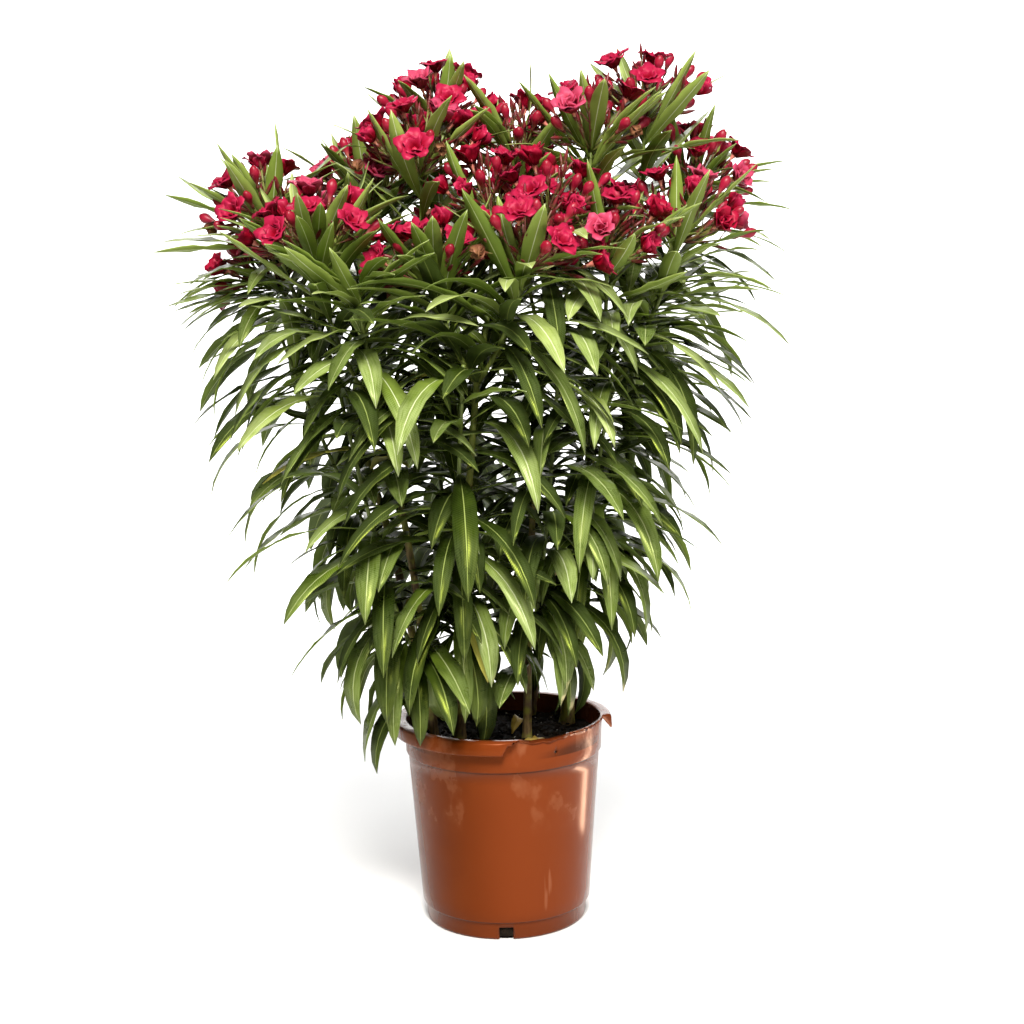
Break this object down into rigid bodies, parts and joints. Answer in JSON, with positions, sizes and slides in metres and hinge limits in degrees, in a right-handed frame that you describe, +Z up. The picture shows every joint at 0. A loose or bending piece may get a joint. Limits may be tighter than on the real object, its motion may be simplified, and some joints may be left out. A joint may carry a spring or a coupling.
{
  "type": "potted oleander shrub",
  "caption": "Evergreen flowering shrub in a filled round nursery pot, with leaning stems, forked boughs, long leaves in whorls and heads of red flowers.",
  "frame": {"origin": "centre of the pot's flat underside", "axes": "+Z up along the pot's axis, -Y towards the front of the plant, +X to its right as seen from the front"},
  "size_m": [0.6919, 0.5911, 0.9427],
  "materials": {
    "pot": "thin moulded terracotta-coloured plastic, glossy, scuffed and dusty",
    "soil": "dark crumbly bark compost with a few pale grains",
    "bark": "smooth grey-brown bark with fine lengthwise cracks and old leaf scars",
    "young_bark": "smooth olive-green young bark, flushed red-brown towards the flowers",
    "foliage": "leathery leaves, half glossy, with a pale midrib",
    "blossom": "soft crimson petals with paler edges and darker throats"
  },
  "bodies": {
    "root": {"pot": "pot", "soil": "soil", "stem_front": "bark", "bough_front_left": "young_bark", "bough_front_right": "young_bark", "bough_front_inner": "young_bark", "stem_left_front": "bark", "bough_left_front_left": "young_bark", "bough_left_front_front": "young_bark", "bough_left_front_inner": "young_bark", "stem_left": "bark", "bough_left_front": "young_bark", "bough_left_outer": "young_bark", "bough_left_inner": "young_bark", "stem_right": "bark", "bough_right_front": "young_bark", "bough_right_outer": "young_bark", "bough_right_side": "young_bark", "stem_centre": "bark", "bough_centre_back": "young_bark", "bough_centre_right": "young_bark", "bough_centre_front": "young_bark", "stem_back_left": "bark", "bough_back_left_front": "young_bark", "bough_back_left_left": "young_bark", "bough_back_left_back": "young_bark", "stem_back_right": "bark", "bough_back_right_front": "young_bark", "bough_back_right_outer": "young_bark", "bough_back_right_back": "young_bark", "leaves_front_left": "foliage", "leaves_front_right": "foliage", "leaves_front_inner": "foliage", "leaves_front_low": "foliage", "leaves_left_front_left": "foliage", "leaves_left_front_front": "foliage", "leaves_left_front_inner": "foliage", "leaves_left_front_low": "foliage", "leaves_left_front": "foliage", "leaves_left_outer": "foliage", "leaves_left_inner": "foliage", "leaves_left_low": "foliage", "leaves_right_front": "foliage", "leaves_right_outer": "foliage", "leaves_right_side": "foliage", "leaves_right_low": "foliage", "leaves_right_high": "foliage", "leaves_centre_back": "foliage", "leaves_centre_right": "foliage", "leaves_centre_front": "foliage", "leaves_centre_low": "foliage", "leaves_back_left_front": "foliage", "leaves_back_left_left": "foliage", "leaves_back_left_back": "foliage", "leaves_back_left_low": "foliage", "leaves_back_left_high": "foliage", "leaves_back_right_front": "foliage", "leaves_back_right_outer": "foliage", "leaves_back_right_back": "foliage", "leaves_back_right_low": "foliage"}
  },
  "joints": []
}
